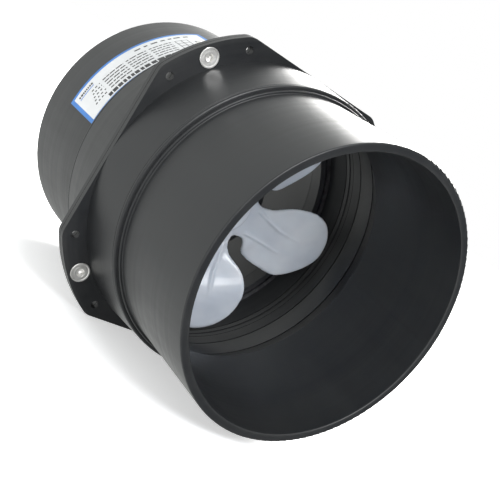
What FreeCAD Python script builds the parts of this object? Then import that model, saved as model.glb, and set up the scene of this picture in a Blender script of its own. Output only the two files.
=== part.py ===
import FreeCAD, Part
import math
import os

import Sketcher

# In-line duct blower: two moulded casing halves bolted flange to flange, a short
# brushed motor on a four-armed bracket inside the rear half, and a five-bladed impeller.
#
# Frame: the origin is on the fan axis in the joint plane between the two flanges.
# The axis lies along Y, the outlet mouth faces -Y, the inlet faces +Y, and +Z is up.
# The flange is square with its corners turned off, so one flat side faces down.

# ---------------------------------------------------------------------------
# Driving dimensions, millimetres and degrees
# ---------------------------------------------------------------------------

DIMENSIONS = {
    # casing halves
    "spigot_radius": 50.8,
    "mouth_bore_radius": 48.0,
    "inner_bore_radius": 47.25,
    "half_length": 68.0,
    "step_face": 24.2,
    "step_radius": 51.9,
    "shoulder_face": 22.9,
    "shoulder_radius": 53.2,
    "band_groove": 21.6,
    "groove_depth": 0.25,
    "groove_width": 0.4,
    "body_radius": 54.8,
    "cavity_start": 21.8,
    "cavity_outer_step": 14.4,
    "cavity_inner_step": 4.6,
    "cavity_outer_radius": 51.0,
    "cavity_inner_radius": 52.4,
    "cavity_groove_depth": 0.45,
    "cavity_groove_width": 0.5,
    "flange_half_width": 54.8,
    "flange_corner_radius": 63.0,
    "flange_thickness": 2.0,
    "edge_round": 0.5,
    "shoulder_round": 0.7,
    "step_round": 0.4,
    "corner_round": 6.0,
    # register between the halves, with its seal
    "lip_length": 1.8,
    "lip_radius": 53.4,
    "recess_radius": 53.5,
    "recess_depth": 2.7,
    "seal_section_radius": 0.45,
    # flange fasteners
    "screw_circle_radius": 58.6,
    "screw_hole_radius": 2.15,
    "screw_radius": 2.0,
    "screw_head_radius": 3.5,
    "countersink_radius": 3.7,
    "countersink_depth": 1.55,
    "head_land": 0.35,
    "head_proud": 0.2,
    "screw_end": 6.6,
    "socket_radius": 1.45,
    "socket_depth": 1.5,
    "socket_turn": 12.0,
    "cutter_overrun": 0.1,
    "nut_radius": 4.04,
    "nut_height": 3.2,
    "thread_clearance": 0.02,
    "side_hole_radius": 1.4,
    "side_hole_angle": 14.3,
    # motor bracket
    "bracket_seat_radius": 50.9,
    "bracket_front": 15.0,
    "bracket_rear": 21.0,
    "bracket_ring_radius": 50.8,
    "bracket_ring_bore": 47.3,
    "arm_width": 3.2,
    "arm_overlap": 0.6,
    "cup_radius": 20.5,
    "cup_bore_radius": 18.1,
    "cup_front": 11.0,
    "cup_wall": 2.5,
    "cup_rear": 33.0,
    "cup_nose_hole": 7.0,
    "cup_chamfer": 1.0,
    "bracket_screw_clearance": 0.1,
    "retainer_inner_radius": 49.4,
    "retainer_outer_radius": 52.1,
    "retainer_groove_radius": 52.2,
    "retainer_thickness": 1.2,
    "retainer_gap_angle": 24.0,
    "retainer_gap_middle": 180.0,
    "retainer_ear_radius": 1.7,
    "retainer_ear_hole": 0.7,
    "retainer_ear_inset": 0.5,
    "retainer_play": 0.1,
    # motor
    "can_radius": 18.0,
    "can_wall": 1.2,
    "can_front": 13.5,
    "can_rear": 61.0,
    "nose_radius": 6.5,
    "nose_front": 11.3,
    "nose_bore": 4.0,
    "end_cap_front": 56.0,
    "end_cap_depth": 4.0,
    "end_cap_boss_radius": 6.2,
    "end_cap_boss_rear": 62.5,
    "bush_radius": 4.0,
    "front_bush_rear": 16.5,
    "rear_bush_front": 57.0,
    "shaft_radius": 1.6,
    "running_clearance": 0.03,
    "shaft_front": -3.4,
    "shaft_rear": 63.5,
    "magnet_inner_radius": 14.6,
    "magnet_front": 21.0,
    "magnet_rear": 49.0,
    "magnet_angle": 128.0,
    "clip_thickness": 0.8,
    "clip_gap_angle": 4.0,
    "clip_inset": 1.0,
    "press_gap": 0.05,
    "core_radius": 13.9,
    "core_front": 25.0,
    "core_rear": 45.0,
    "slot_radius": 4.2,
    "slot_centre_radius": 9.2,
    "slot_mouth": 1.6,
    "coil_radius": 3.9,
    "coil_overhang": 3.0,
    "commutator_radius": 4.6,
    "commutator_front": 48.8,
    "commutator_rear": 54.6,
    "segment_gap": 0.5,
    "washer_radius": 3.2,
    "washer_thickness": 0.6,
    "end_play": 0.3,
    "brush_width": 3.0,
    "brush_depth": 3.4,
    "brush_length": 5.0,
    "brush_front": 50.2,
    "brush_air": 0.1,
    "spring_thickness": 0.5,
    "spring_width": 3.6,
    "terminal_reach": 10.0,
    "terminal_width": 2.8,
    "terminal_thickness": 0.8,
    "terminal_rear": 64.0,
    "terminal_hidden": 3.0,
    "terminal_slot_depth": 8.0,
    "motor_screw_circle": 12.5,
    "motor_screw_radius": 1.5,
    "motor_screw_head": 2.75,
    "motor_screw_head_height": 1.8,
    "motor_screw_end": 17.0,
    "cross_slot_length": 3.2,
    "cross_slot_width": 0.7,
    "cross_slot_depth": 0.9,
    # wiring
    "lead_radius": 0.8,
    "lead_spacing": 1.4,
    "lead_turn_rear": 67.0,
    "lead_run_radius": 24.5,
    "lead_bend": 4.0,
    "gland_angle": 255.0,
    "gland_height": 8.9,
    "gland_hole_radius": 3.6,
    "gland_flange_radius": 4.7,
    "gland_outer_face": 55.3,
    "gland_inner_face": 50.0,
    # impeller
    "hub_radius": 9.0,
    "hub_front": -0.2,
    "hub_rear": 6.5,
    "hub_nose_radius": 7.4,
    "hub_flange_radius": 14.2,
    "hub_flange_front": 4.9,
    "insert_radius": 4.0,
    "impeller_washer_radius": 4.5,
    "impeller_washer_thickness": 0.8,
    "impeller_nut_radius": 3.18,
    "impeller_nut_height": 3.0,
    "impeller_nut_bore_front": -3.5,
    "impeller_nut_dome": 1.0,
    "blade_thickness": 1.8,
    "blade_root_radius": 7.8,
    "blade_lead": 61.0,
    "blade_middle_height": 1.3,
    "blade_angle": -2.3,
    # label
    "label_front": 25.6,
    "label_width": 23.6,
    "label_thickness": 0.15,
    "label_start_angle": 113.5,
    "label_angle": 65.5,
}

FLANGE_SIDES = 4
BLADE_COUNT = 5
POLE_COUNT = 5
MOTOR_SCREW_ANGLES = (45.0, 225.0)
FULL_TURN = 360.0

# The blade's edge seen along the fan axis, as radius and angle from the blade's middle
BLADE_EDGE = (
    (12.0, 33.0), (14.0, 29.2), (15.2, 24.8), (17.2, 22.3), (20.0, 22.5), (22.5, 25.3), (25.3, 27.8),
    (28.2, 28.2), (32.5, 27.0), (37.0, 24.2), (42.0, 19.2), (45.4, 13.9), (47.8, 8.0),
    (49.1, 0.8), (47.8, -5.9), (44.6, -13.8), (41.4, -20.2), (38.0, -23.6), (33.1, -27.0),
    (29.0, -30.6), (24.9, -33.2), (21.9, -32.6), (19.2, -29.0), (17.3, -28.0), (15.8, -30.2),
    (14.6, -34.6), (12.4, -38.6),
)
BLADE_ROOT_ANGLES = (34.0, -38.0)
BLADE_COLUMNS = (-44.0, -33.0, -22.0, -11.0, 0.0, 11.0, 22.0, 33.0)

# The blade flattens and moves to the rear towards the hub: at each radius, the share
# of its full pitch and how far it sits behind the blade's middle height
BLADE_TWIST = (
    (6.0, 0.0, 4.2), (9.0, 0.0, 4.2), (12.0, 0.02, 4.2), (15.0, 0.07, 4.1), (18.0, 0.17, 3.5),
    (21.0, 0.4, 2.4), (24.0, 0.7, 1.8), (27.0, 0.9, 1.1), (30.0, 1.0, 0.4), (33.0, 1.0, -0.2), (36.0, 1.0, -0.4),
    (39.0, 1.0, -0.4), (42.0, 1.0, -0.4), (45.0, 1.0, -0.4), (48.0, 1.0, -0.4), (51.0, 1.0, -0.4),
)

document = FreeCAD.newDocument("duct_blower")


def fill_sheet():
    """Write every driving dimension to its own aliased cell."""
    dimension_sheet = document.addObject("Spreadsheet::Sheet", "dims")
    for row, (alias, value) in enumerate(DIMENSIONS.items(), start=1):
        dimension_sheet.set("A" + str(row), alias)
        dimension_sheet.set("B" + str(row), str(value))
        dimension_sheet.setAlias("B" + str(row), alias)
    document.recompute()
    return dimension_sheet


sheet = fill_sheet()


class Size:
    """A number together with the expression that binds it to the sheet."""

    def __init__(self, value, text):
        self.value = value
        self.text = text

    def __add__(self, other):
        other = as_size(other)
        return Size(self.value + other.value, "(" + self.text + " + " + other.text + ")")

    def __sub__(self, other):
        other = as_size(other)
        return Size(self.value - other.value, "(" + self.text + " - " + other.text + ")")

    def __mul__(self, other):
        other = as_size(other)
        return Size(self.value * other.value, self.text + " * " + other.text)

    def __neg__(self):
        return self * -1.0


def as_size(number):
    """Return a plain number as a Size, and a Size as it is."""
    if isinstance(number, Size):
        return number
    return Size(float(number), "(" + repr(float(number)) + ")")


def dim(alias):
    """The dimension of that name."""
    return Size(float(sheet.get(alias)), "dims." + alias)


def polar(radius, degrees):
    """The X and Z of a point at that radius and angle about the fan axis."""
    radius = as_size(radius)
    radians = math.radians(degrees)
    angle = "(" + repr(float(degrees)) + " deg)"
    across = Size(radius.value * math.cos(radians), radius.text + " * cos(" + angle + ")")
    upward = Size(radius.value * math.sin(radians), radius.text + " * sin(" + angle + ")")
    return across, upward


# ---------------------------------------------------------------------------
# Helpers for PartDesign bodies
# ---------------------------------------------------------------------------

def make_body(name):
    body = document.addObject("PartDesign::Body", name)
    body.Label = name
    return body


def make_sketch(body, name, role):
    """A sketch on one of the body's own origin planes."""
    sketch = body.newObject("Sketcher::SketchObject", name)
    plane = [item for item in body.Origin.OriginFeatures if item.Role == role][0]
    sketch.AttachmentSupport = [(plane, "")]
    sketch.MapMode = "FlatFace"
    return sketch


def constrain(sketch, kind, *references, size=None):
    """Add a constraint and bind its value, if it has one, to the sheet."""
    if size is None:
        return sketch.addConstraint(Sketcher.Constraint(kind, *references))
    index = sketch.addConstraint(Sketcher.Constraint(kind, *references, size.value))
    sketch.setExpression("Constraints[" + str(index) + "]", size.text)
    return index


def pin_point(sketch, line, end, across, along):
    """Hold one end of a sketch line at a bound place from the origin."""
    for kind, size, axis in (("DistanceX", across, -2), ("DistanceY", along, -1)):
        if abs(size.value) < 1e-9:
            constrain(sketch, "PointOnObject", line, end, axis)
        else:
            constrain(sketch, kind, -1, 1, line, end, size=size)


def outline_sketch(body, name, role, corners):
    """A closed outline of straight lines through bound corners."""
    sketch = make_sketch(body, name, role)
    corners = [(as_size(across), as_size(along)) for across, along in corners]
    count = len(corners)
    for index in range(count):
        start = corners[index]
        finish = corners[(index + 1) % count]
        first = FreeCAD.Vector(start[0].value, start[1].value, 0)
        second = FreeCAD.Vector(finish[0].value, finish[1].value, 0)
        sketch.addGeometry(Part.LineSegment(first, second))
    for index in range(count):
        constrain(sketch, "Coincident", index, 2, (index + 1) % count, 1)
    for index, (across, along) in enumerate(corners):
        pin_point(sketch, index, 1, across, along)
    return sketch


def circles_sketch(body, name, role, circles):
    """Full circles, each given as across, along and radius."""
    sketch = make_sketch(body, name, role)
    for index, (across, along, radius) in enumerate(circles):
        across, along, radius = as_size(across), as_size(along), as_size(radius)
        centre = FreeCAD.Vector(across.value, along.value, 0)
        sketch.addGeometry(Part.Circle(centre, FreeCAD.Vector(0, 0, 1), radius.value))
        pin_point(sketch, index, 3, across, along)
        constrain(sketch, "Radius", index, size=radius)
    return sketch


def revolve(body, name, sketch, kind="PartDesign::Revolution"):
    """Turn a sketch on the XY plane about the fan axis."""
    feature = body.newObject(kind, name)
    feature.Profile = sketch
    feature.ReferenceAxis = (sketch, ["V_Axis"])
    feature.Angle = FULL_TURN
    document.recompute()
    return feature


def extrude(body, name, sketch, length, reverse=False, kind="PartDesign::Pad"):
    """Pad or pocket a sketch by a bound length."""
    feature = body.newObject(kind, name)
    feature.Profile = sketch
    feature.setExpression("Length", as_size(length).text)
    feature.Reversed = reverse
    document.recompute()
    return feature


def polar_pattern(body, name, originals, sketch, count):
    """Repeat features about the fan axis, the normal of an XZ sketch."""
    pattern = body.newObject("PartDesign::PolarPattern", name)
    pattern.Originals = originals
    pattern.Axis = (sketch, ["N_Axis"])
    pattern.Angle = FULL_TURN
    pattern.Occurrences = count
    body.Tip = pattern
    document.recompute()
    return pattern


def ring_edges(shape, radius, height):
    """Names of the round edges about the fan axis at that radius and height."""
    found = []
    for number, edge in enumerate(shape.Edges, start=1):
        curve = edge.Curve
        if not isinstance(curve, Part.Circle):
            continue
        off_axis = math.hypot(curve.Center.x, curve.Center.z)
        same_size = abs(curve.Radius - radius.value) < 1e-4
        same_place = abs(curve.Center.y - height.value) < 1e-4
        if off_axis < 1e-4 and same_size and same_place:
            found.append("Edge" + str(number))
    return found


def fillet(body, name, base, edges, radius):
    """Round the named edges of the body's last feature."""
    if not edges:
        raise RuntimeError(name + " found no edge to round")
    feature = body.newObject("PartDesign::Fillet", name)
    feature.Base = (base, edges)
    feature.setExpression("Radius", as_size(radius).text)
    body.Tip = feature
    document.recompute()
    return feature


# ---------------------------------------------------------------------------
# Helpers for Part objects
# ---------------------------------------------------------------------------

ALONG_Y = FreeCAD.Rotation(FreeCAD.Vector(1, 0, 0), -90)


def place(item, base, rotation=None):
    """Give an object a bound base point, and a rotation."""
    base = [as_size(number) for number in base]
    point = FreeCAD.Vector(*[size.value for size in base])
    item.Placement = FreeCAD.Placement(point, rotation or FreeCAD.Rotation())
    for axis, size in zip("xyz", base):
        item.setExpression("Placement.Base." + axis, size.text)
    return item


def bind(item, **sizes):
    """Bind an object's properties to the sheet."""
    for name, size in sizes.items():
        item.setExpression(name, as_size(size).text)
    return item


def cylinder(name, radius, start, finish, across=0.0, upward=0.0):
    """A cylinder along Y between two heights."""
    item = document.addObject("Part::Cylinder", name)
    bind(item, Radius=radius, Height=as_size(finish) - start)
    return place(item, (across, start, upward), ALONG_Y)


def cone(name, start_radius, finish_radius, start, finish, across=0.0, upward=0.0):
    """A cone along Y between two heights."""
    item = document.addObject("Part::Cone", name)
    bind(item, Radius1=start_radius, Radius2=finish_radius, Height=as_size(finish) - start)
    return place(item, (across, start, upward), ALONG_Y)


def box(name, centre, widths, turn=0.0):
    """A box given by its centre and widths, turned about the fan axis."""
    centre = [as_size(number) for number in centre]
    widths = [as_size(number) for number in widths]
    item = document.addObject("Part::Box", name)
    bind(item, Length=widths[0], Width=widths[1], Height=widths[2])
    corner = [middle - width * 0.5 for middle, width in zip(centre, widths)]
    place(item, corner)
    if turn:
        spin = FreeCAD.Rotation(FreeCAD.Vector(0, 1, 0), -turn)
        holder = document.addObject("Part::Compound", name + "_turned")
        holder.Links = [item]
        holder.Placement = FreeCAD.Placement(FreeCAD.Vector(), spin)
        return holder
    return item


def prism(name, radius, start, finish, across=0.0, upward=0.0, turn=0.0):
    """A hexagonal bar along Y, its radius measured to a corner."""
    item = document.addObject("Part::Prism", name)
    item.Polygon = 6
    bind(item, Circumradius=radius, Height=as_size(finish) - start)
    spin = FreeCAD.Rotation(FreeCAD.Vector(0, 1, 0), -turn)
    return place(item, (across, start, upward), spin.multiply(ALONG_Y))


def fuse(name, items):
    result = document.addObject("Part::MultiFuse", name)
    result.Shapes = items
    return result


def cut(name, base, tool):
    result = document.addObject("Part::Cut", name)
    result.Base = base
    result.Tool = tool
    return result


def common(name, items):
    result = document.addObject("Part::MultiCommon", name)
    result.Shapes = items
    return result


def group(name, items):
    """Several separate solids that share one node."""
    result = document.addObject("Part::Compound", name)
    result.Links = items
    return named(result, name)


def named(item, name):
    """Give a finished sub-part the label that names its file."""
    item.Label = name
    return item


def tube(name, outer_radius, inner_radius, start, finish, across=0.0, upward=0.0):
    """A round sleeve along Y."""
    outside = cylinder(name + "_outside", outer_radius, start, finish, across, upward)
    inside = cylinder(name + "_inside", inner_radius, start, finish, across, upward)
    return cut(name, outside, inside)


def computed(name, shape):
    """A sub-part whose shape is worked out in code from the sheet."""
    item = document.addObject("Part::Feature", name)
    item.Shape = shape
    item.Placement = FreeCAD.Placement()
    return named(item, name)


def wedge_of(name, item, degrees, middle):
    """The sector of an item about the fan axis, centred on an angle."""
    sector = document.addObject("Part::Cylinder", name + "_sector")
    reach = dim("flange_corner_radius")
    bind(sector, Radius=reach, Height=dim("half_length") * 2.0, Angle=degrees)
    half = as_size(degrees).value / 2
    turn = FreeCAD.Rotation(FreeCAD.Vector(0, 1, 0), -(middle + half))
    place(sector, (0.0, -dim("half_length"), 0.0), turn.multiply(ALONG_Y))
    return common(name, [item, sector])


# ---------------------------------------------------------------------------
# Casing halves
# ---------------------------------------------------------------------------

def outer_wall(side):
    """Outer profile from the mouth edge to the flange, as radius and height."""
    groove = dim("band_groove")
    depth = dim("groove_depth")
    half_groove = dim("groove_width") * 0.5
    return [
        (dim("spigot_radius"), dim("half_length") * side),
        (dim("spigot_radius"), dim("step_face") * side),
        (dim("step_radius"), dim("step_face") * side),
        (dim("step_radius"), dim("shoulder_face") * side),
        (dim("shoulder_radius"), dim("shoulder_face") * side),
        (dim("shoulder_radius"), (groove + half_groove) * side),
        (dim("shoulder_radius") - depth, groove * side),
        (dim("shoulder_radius"), (groove - half_groove) * side),
        (dim("body_radius"), dim("flange_thickness") * side),
        (dim("body_radius"), as_size(0.0)),
    ]


def cavity_groove(radius, height, side):
    """A fine square groove turned in the cavity wall, towards the mouth."""
    depth = dim("cavity_groove_depth")
    width = dim("cavity_groove_width")
    return [
        (radius, height * side),
        (radius + depth, height * side),
        (radius + depth, (height + width) * side),
        (radius, (height + width) * side),
    ]


def add_flange(body, name, side):
    """The square flange with turned corners, its bore inside the wall."""
    sketch = make_sketch(body, name + "_flange_outline", "XZ_Plane")
    half = dim("flange_half_width").value
    corner = dim("flange_corner_radius").value
    rise = math.sqrt(corner ** 2 - half ** 2)
    start_angle = math.atan2(rise, half)
    finish_angle = math.pi / 2 - start_angle
    normal = FreeCAD.Vector(0, 0, 1)
    for quarter in range(FLANGE_SIDES):
        turn = quarter * math.pi / 2
        circle = Part.Circle(FreeCAD.Vector(), normal, corner)
        sketch.addGeometry(Part.ArcOfCircle(circle, start_angle + turn, finish_angle + turn))
    for quarter in range(FLANGE_SIDES):
        this_end = sketch.Geometry[quarter].EndPoint
        next_start = sketch.Geometry[(quarter + 1) % FLANGE_SIDES].StartPoint
        sketch.addGeometry(Part.LineSegment(this_end, next_start))
    for quarter in range(FLANGE_SIDES):
        line = FLANGE_SIDES + quarter
        constrain(sketch, "Coincident", quarter, 3, -1, 1)
        constrain(sketch, "Coincident", line, 1, quarter, 2)
        constrain(sketch, "Coincident", line, 2, (quarter + 1) % FLANGE_SIDES, 1)
        level = "Horizontal" if quarter % 2 == 0 else "Vertical"
        constrain(sketch, level, line)
        reach = dim("flange_half_width") * (1 if quarter in (0, 3) else -1)
        kind = "DistanceY" if quarter % 2 == 0 else "DistanceX"
        constrain(sketch, kind, -1, 1, line, 1, size=reach)
    constrain(sketch, "Radius", 0, size=dim("flange_corner_radius"))
    for quarter in range(1, FLANGE_SIDES):
        constrain(sketch, "Equal", 0, quarter)
    bore = sketch.addGeometry(Part.Circle(FreeCAD.Vector(), normal, dim("lip_radius").value))
    constrain(sketch, "Coincident", bore, 3, -1, 1)
    constrain(sketch, "Radius", bore, size=dim("recess_radius"))
    flange = extrude(body, name + "_flange", sketch, dim("flange_thickness"), side > 0)
    corners = []
    for number, edge in enumerate(flange.Shape.Edges, start=1):
        box_of_edge = edge.BoundBox
        upright = box_of_edge.YLength > 1 and box_of_edge.XLength < 1e-3
        distance = math.hypot(box_of_edge.Center.x, box_of_edge.Center.z)
        if upright and abs(distance - corner) < 1e-3:
            corners.append("Edge" + str(number))
    return fillet(body, name + "_corner_round", flange, corners, dim("corner_round"))


def flange_hole_circles():
    """One screw hole with a smaller hole each side of it on the same circle."""
    circle = dim("screw_circle_radius")
    step = dim("side_hole_angle").value
    places = [(45.0, dim("screw_hole_radius"))]
    places += [(45.0 + turn, dim("side_hole_radius")) for turn in (-step, step)]
    return [polar(circle, angle) + (radius,) for angle, radius in places]


def casing(name, side, wall):
    """A casing half from its closed wall profile, with its flange and holes."""
    body = make_body(name)
    add_flange(body, name, side)
    profile = outline_sketch(body, name + "_wall", "XY_Plane", wall)
    revolve(body, name + "_shell", profile)
    holes = circles_sketch(body, name + "_hole_places", "XZ_Plane", flange_hole_circles())
    before = body.Shape.Volume
    depth = dim("flange_thickness") * 2.0
    pocket = extrude(body, name + "_holes", holes, depth, side < 0, "PartDesign::Pocket")
    if pocket.Shape.Volume > before - 1:
        raise RuntimeError(name + " flange holes cut nothing")
    polar_pattern(body, name + "_hole_pattern", [pocket], holes, FLANGE_SIDES)
    return body


def round_casing_edges(body, name, side):
    """Soften the mouth, step and shoulder edges."""
    mouth = dim("half_length") * side
    base = body.Tip
    mouth_edges = ring_edges(base.Shape, dim("spigot_radius"), mouth)
    mouth_edges += ring_edges(base.Shape, dim("mouth_bore_radius"), mouth)
    base = fillet(body, name + "_mouth_round", base, mouth_edges, dim("edge_round"))
    step_edges = ring_edges(base.Shape, dim("step_radius"), dim("step_face") * side)
    step_edges += ring_edges(base.Shape, dim("spigot_radius"), dim("step_face") * side)
    base = fillet(body, name + "_step_round", base, step_edges, dim("step_round"))
    shoulder = ring_edges(base.Shape, dim("shoulder_radius"), dim("shoulder_face") * side)
    return fillet(body, name + "_shoulder_round", base, shoulder, dim("shoulder_round"))


def make_front_casing():
    name = "front_casing"
    side = -1.0
    wall = outer_wall(side)
    wall += [
        (dim("lip_radius"), as_size(0.0)),
        (dim("lip_radius"), dim("lip_length")),
        (dim("cavity_inner_radius"), dim("lip_length")),
    ]
    wall += cavity_groove(dim("cavity_inner_radius"), dim("cavity_inner_step"), side)
    wall += cavity_groove(dim("cavity_outer_radius"), dim("cavity_outer_step"), side)
    wall += [
        (dim("inner_bore_radius"), dim("cavity_start") * side),
        (dim("mouth_bore_radius"), dim("half_length") * side),
    ]
    body = casing(name, side, wall)
    sink = dim("countersink_depth")
    countersink = body.newObject("PartDesign::SubtractiveCone", name + "_countersink")
    across, upward = polar(dim("screw_circle_radius"), 45.0)
    bind(countersink, Radius1=dim("countersink_radius"), Radius2=dim("screw_hole_radius"), Height=sink)
    countersink.MapMode = "Deactivated"
    place(countersink, (across, -dim("flange_thickness"), upward), ALONG_Y)
    document.recompute()
    sketch = document.getObject(name + "_hole_places")
    polar_pattern(body, name + "_countersinks", [countersink], sketch, FLANGE_SIDES)
    round_casing_edges(body, name, side)
    return body


def make_rear_casing():
    name = "rear_casing"
    side = 1.0
    wall = outer_wall(side)
    groove_front = dim("bracket_front") - dim("retainer_thickness") - dim("retainer_play")
    wall += [
        (dim("recess_radius"), as_size(0.0)),
        (dim("recess_radius"), dim("recess_depth")),
        (dim("cavity_inner_radius"), dim("recess_depth")),
    ]
    wall += cavity_groove(dim("cavity_inner_radius"), dim("cavity_inner_step"), side)
    wall += [
        (dim("cavity_outer_radius"), groove_front),
        (dim("retainer_groove_radius"), groove_front),
        (dim("retainer_groove_radius"), dim("bracket_front")),
        (dim("bracket_seat_radius"), dim("bracket_front")),
        (dim("bracket_seat_radius"), dim("bracket_rear")),
        (dim("inner_bore_radius"), dim("bracket_rear")),
        (dim("mouth_bore_radius"), dim("half_length")),
    ]
    body = casing(name, side, wall)
    hole = body.newObject("PartDesign::SubtractiveCylinder", name + "_gland_hole")
    bind(hole, Radius=dim("gland_hole_radius"), Height=dim("cavity_inner_radius") * 0.5)
    hole.MapMode = "Deactivated"
    inner = dim("cavity_inner_radius") * 0.8
    across, upward = polar(inner, dim("gland_angle").value)
    place(hole, (across, dim("gland_height"), upward), gland_rotation())
    document.recompute()
    body.Tip = hole
    round_casing_edges(body, name, side)
    return body


def gland_rotation():
    """The rotation that points a local Z axis out through the gland."""
    radians = math.radians(dim("gland_angle").value)
    outward = FreeCAD.Vector(math.cos(radians), 0, math.sin(radians))
    return FreeCAD.Rotation(FreeCAD.Vector(0, 0, 1), outward)


def make_joint_seal():
    """The rubber cord between the front lip and the rear recess."""
    item = document.addObject("Part::Torus", "joint_seal")
    middle = (dim("recess_radius") + dim("cavity_inner_radius")) * 0.5
    bind(item, Radius1=middle, Radius2=dim("seal_section_radius"))
    height = dim("lip_length") + dim("seal_section_radius")
    place(item, (0.0, height, 0.0), ALONG_Y)
    return named(item, "joint_seal")


# ---------------------------------------------------------------------------
# Flange fasteners
# ---------------------------------------------------------------------------

def corner_angles():
    return [45.0 + quarter * 90.0 for quarter in range(FLANGE_SIDES)]


def make_flange_screw(name, angle):
    """A countersunk hexagon-socket screw through both flanges."""
    across, upward = polar(dim("screw_circle_radius"), angle)
    top = -dim("flange_thickness") - dim("head_proud")
    under_land = top + dim("head_land")
    head_end = under_land + dim("countersink_depth") - dim("head_proud")
    land = cylinder(name + "_land", dim("screw_head_radius"), top, under_land, across, upward)
    head = cone(name + "_head", dim("screw_head_radius"), dim("screw_radius"),
                under_land, head_end, across, upward)
    shank = cylinder(name + "_shank", dim("screw_radius"), head_end, dim("screw_end"), across, upward)
    blank = fuse(name + "_blank", [land, head, shank])
    socket_end = top + dim("socket_depth")
    socket_start = top - dim("cutter_overrun")
    socket = prism(name + "_socket", dim("socket_radius"), socket_start, socket_end,
                   across, upward, angle + dim("socket_turn").value)
    return cut(name, blank, socket)


def make_flange_nut(name, angle):
    """A plain hexagon nut behind the rear flange, a flat towards the wall."""
    across, upward = polar(dim("screw_circle_radius"), angle)
    start = dim("flange_thickness")
    finish = start + dim("nut_height")
    blank = prism(name + "_blank", dim("nut_radius"), start, finish, across, upward, angle + 30.0)
    bore_radius = dim("screw_radius") + dim("thread_clearance")
    bore = cylinder(name + "_bore", bore_radius, start, finish, across, upward)
    return cut(name, blank, bore)


def make_flange_screws():
    items = [make_flange_screw("screw_" + str(number), angle)
             for number, angle in enumerate(corner_angles(), start=1)]
    return group("flange_screws", items)


def make_flange_nuts():
    items = [make_flange_nut("nut_" + str(number), angle)
             for number, angle in enumerate(corner_angles(), start=1)]
    return group("flange_nuts", items)


# ---------------------------------------------------------------------------
# Motor bracket and its retaining ring
# ---------------------------------------------------------------------------

def make_motor_bracket():
    """A ring in the rear casing, four arms and a cup that grips the motor."""
    name = "motor_bracket"
    body = make_body(name)
    ring = outline_sketch(body, name + "_ring_profile", "XY_Plane", [
        (dim("bracket_ring_bore"), dim("bracket_front")),
        (dim("bracket_ring_radius"), dim("bracket_front")),
        (dim("bracket_ring_radius"), dim("bracket_rear")),
        (dim("bracket_ring_bore"), dim("bracket_rear")),
    ])
    revolve(body, name + "_ring", ring)
    arm_start = dim("cup_bore_radius") + dim("arm_overlap")
    arm_end = dim("bracket_ring_bore") + dim("arm_overlap")
    half = dim("arm_width") * 0.5
    arm = outline_sketch(body, name + "_arm_profile", "XZ_Plane", [
        (arm_start, -half),
        (arm_end, -half),
        (arm_end, half),
        (arm_start, half),
    ])
    arm.setExpression("AttachmentOffset.Base.z", (-dim("bracket_front")).text)
    arm_depth = dim("bracket_rear") - dim("bracket_front")
    arm_pad = extrude(body, name + "_arm", arm, arm_depth, True)
    polar_pattern(body, name + "_arms", [arm_pad], arm, FLANGE_SIDES)
    cup = outline_sketch(body, name + "_cup_profile", "XY_Plane", [
        (dim("cup_nose_hole"), dim("cup_front")),
        (dim("cup_radius") - dim("cup_chamfer"), dim("cup_front")),
        (dim("cup_radius"), dim("cup_front") + dim("cup_chamfer")),
        (dim("cup_radius"), dim("cup_rear")),
        (dim("cup_bore_radius"), dim("cup_rear")),
        (dim("cup_bore_radius"), dim("cup_front") + dim("cup_wall")),
        (dim("cup_nose_hole"), dim("cup_front") + dim("cup_wall")),
    ])
    revolve(body, name + "_cup", cup)
    radius = dim("motor_screw_radius") + dim("bracket_screw_clearance")
    depth = dim("cup_front") + dim("cup_wall") + dim("cutter_overrun")
    drill_screw_holes(body, name, radius, depth)
    return body


def drill_screw_holes(body, name, radius, depth):
    """Two holes for the motor screws, cut from the joint plane to a depth."""
    circle = dim("motor_screw_circle")
    circles = [polar(circle, angle) + (radius,) for angle in MOTOR_SCREW_ANGLES]
    holes = circles_sketch(body, name + "_screw_places", "XZ_Plane", circles)
    before = body.Shape.Volume
    pocket = extrude(body, name + "_screw_holes", holes, depth, False, "PartDesign::Pocket")
    if pocket.Shape.Volume > before - 1:
        raise RuntimeError(name + " screw holes cut nothing")
    return pocket


def make_retaining_ring():
    """An open spring ring with two drilled ears, in front of the bracket."""
    name = "bracket_retaining_ring"
    finish = dim("bracket_front")
    start = finish - dim("retainer_thickness")
    ring = tube(name + "_ring", dim("retainer_outer_radius"), dim("retainer_inner_radius"), start, finish)
    gap = dim("retainer_gap_angle").value
    middle = dim("retainer_gap_middle").value
    open_ring = wedge_of(name + "_open", ring, FULL_TURN - gap, middle + 180.0)
    ear_circle = dim("retainer_inner_radius") + dim("retainer_ear_inset")
    ears = []
    holes = []
    for turn in (-gap / 2, gap / 2):
        across, upward = polar(ear_circle, middle + turn)
        tag = name + ("_left" if turn < 0 else "_right")
        ears.append(cylinder(tag + "_ear", dim("retainer_ear_radius"), start, finish, across, upward))
        holes.append(cylinder(tag + "_hole", dim("retainer_ear_hole"), start, finish, across, upward))
    joined = fuse(name + "_joined", [open_ring] + ears)
    return named(cut(name, joined, fuse(name + "_holes", holes)), name)


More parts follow.
